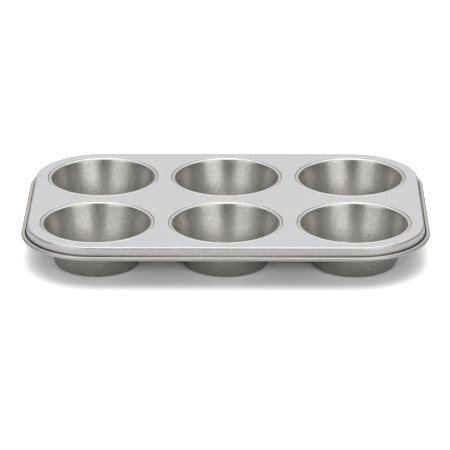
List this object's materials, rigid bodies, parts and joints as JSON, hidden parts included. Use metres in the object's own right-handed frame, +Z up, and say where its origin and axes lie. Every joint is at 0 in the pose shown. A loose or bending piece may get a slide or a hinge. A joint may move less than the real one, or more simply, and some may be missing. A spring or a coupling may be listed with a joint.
{
  "type": "muffin pan",
  "caption": "Rectangular metal muffin pan with round tapered cups locked into a flat deck and a wire-stiffened rolled rim.",
  "frame": {"origin": "on the table, under the middle of the pan", "axes": "+X along the pan's length to its right, -Y towards its front, +Z up out of the cups"},
  "size_m": [0.2674, 0.1826, 0.0283],
  "materials": {
    "deck_coating": "satin silver coating",
    "cup_coating": "satin silver coating",
    "steel_wire": "drawn steel wire"
  },
  "bodies": {
    "root": {"deck": "deck_coating", "rim_wire": "steel_wire", "cup_front_left": "cup_coating", "cup_front_centre": "cup_coating", "cup_front_right": "cup_coating", "cup_rear_left": "cup_coating", "cup_rear_centre": "cup_coating", "cup_rear_right": "cup_coating"}
  },
  "joints": []
}
